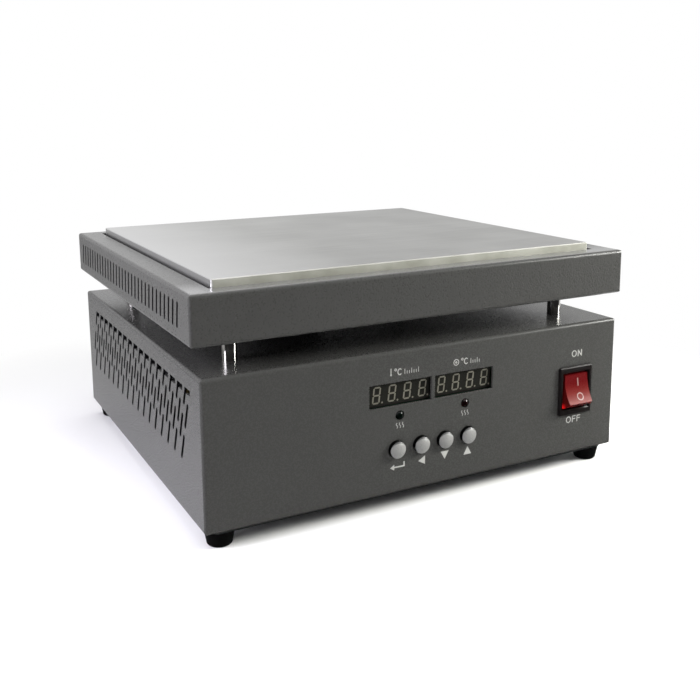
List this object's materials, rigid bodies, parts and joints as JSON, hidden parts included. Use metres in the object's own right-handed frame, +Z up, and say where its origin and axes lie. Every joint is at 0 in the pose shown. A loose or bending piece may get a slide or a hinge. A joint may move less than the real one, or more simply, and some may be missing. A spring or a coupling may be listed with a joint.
{
  "type": "bench heating platform",
  "caption": "Bench heating platform: a flat heated plate in a slotted hood on posts over a vented base with temperature displays, push buttons and a power rocker.",
  "frame": {"origin": "middle of the base on the surface that the feet stand on", "axes": "+X to the right along the front panel, +Y from the front panel to the back, +Z up"},
  "size_m": [0.284, 0.2691, 0.1419],
  "materials": {
    "base_paint": "fine satin powder coat, warm dark grey",
    "hood_paint": "fine-textured powder coat, warm dark grey",
    "zinc_steel": "zinc-plated sheet",
    "screw_steel": "zinc-plated fasteners",
    "post_chrome": "polished plating",
    "plate_aluminium": "brushed aluminium",
    "element_sheath": "heat-darkened stainless sheath",
    "brass": "plain brass",
    "rubber": "matt black rubber",
    "insulation": "rigid insulating board",
    "circuit_board": "solder-masked glass-epoxy",
    "display_face": "dark grey printed face",
    "display_bars": "unlit diffusing bars",
    "lamp_green": "clear dark green lens",
    "lamp_red": "clear dark red lens",
    "button_silver": "silver-plated satin cap",
    "switch_black": "moulded black",
    "rocker_red": "translucent red, polished",
    "moulded_black": "moulded black",
    "ceramic_white": "moulded white",
    "core_steel": "varnished laminations",
    "winding_tape": "yellow tape over the windings",
    "relay_blue": "moulded blue",
    "fuse_glass": "glass tube in metal clips",
    "sink_aluminium": "extruded, plain"
  },
  "bodies": {
    "root": {"base_housing": "base_paint", "bottom_plate": "zinc_steel", "bottom_screws": "screw_steel", "rubber_feet": "rubber", "foot_screws": "screw_steel", "foot_nuts": "screw_steel", "support_posts": "post_chrome", "lower_post_screws": "screw_steel", "upper_post_screws": "screw_steel", "hood": "hood_paint", "hood_tray": "zinc_steel", "tray_screws": "screw_steel", "heating_plate": "plate_aluminium", "heating_element": "element_sheath", "element_terminals": "brass", "heater_straps": "zinc_steel", "strap_screws": "screw_steel", "insulation_board": "insulation", "plate_standoffs": "zinc_steel", "plate_screws": "screw_steel", "temperature_probe": "brass", "overheat_thermostat": "moulded_black", "thermostat_screws": "screw_steel", "lead_duct": "zinc_steel", "control_board": "circuit_board", "board_standoffs": "brass", "board_screws": "screw_steel", "display_actual": "display_face", "display_set": "display_face", "display_segments": "display_bars", "led_heating": "lamp_green", "led_overheat": "lamp_red", "tact_switches": "moulded_black", "switch_housing": "switch_black", "switch_terminals": "zinc_steel", "inlet_body": "moulded_black", "inlet_pins": "brass", "inlet_screws": "screw_steel", "inlet_nuts": "screw_steel", "power_board": "circuit_board", "power_standoffs": "brass", "power_screws": "screw_steel", "transformer_core": "core_steel", "transformer_winding": "winding_tape", "power_relay": "relay_blue", "fuse": "fuse_glass", "heat_sink": "sink_aluminium", "power_triac": "moulded_black", "terminal_block": "ceramic_white", "terminal_screws": "screw_steel", "floor_screws": "screw_steel", "earth_stud": "brass"},
    "button_set": {"button_set": "button_silver"},
    "button_left": {"button_left": "button_silver"},
    "button_down": {"button_down": "button_silver"},
    "button_up": {"button_up": "button_silver"},
    "rocker": {"switch_rocker": "rocker_red"}
  },
  "joints": [
    {"name": "rocker_tilt", "type": "hinge", "parent": "root", "child": "rocker", "pos_m": [0.1057, -0.1275, 0.0517], "axis": [1, 0, 0], "range_deg": [0, 36]},
    {"name": "button_set_press", "type": "slide", "parent": "root", "child": "button_set", "axis": [0, 1, 0], "range_m": [0, 0.0005], "stiffness_N_per_m": 300, "springref_m": -0.002},
    {"name": "button_left_press", "type": "slide", "parent": "root", "child": "button_left", "axis": [0, 1, 0], "range_m": [0, 0.0005], "stiffness_N_per_m": 300, "springref_m": -0.002},
    {"name": "button_down_press", "type": "slide", "parent": "root", "child": "button_down", "axis": [0, 1, 0], "range_m": [0, 0.0005], "stiffness_N_per_m": 300, "springref_m": -0.002},
    {"name": "button_up_press", "type": "slide", "parent": "root", "child": "button_up", "axis": [0, 1, 0], "range_m": [0, 0.0005], "stiffness_N_per_m": 300, "springref_m": -0.002}
  ]
}
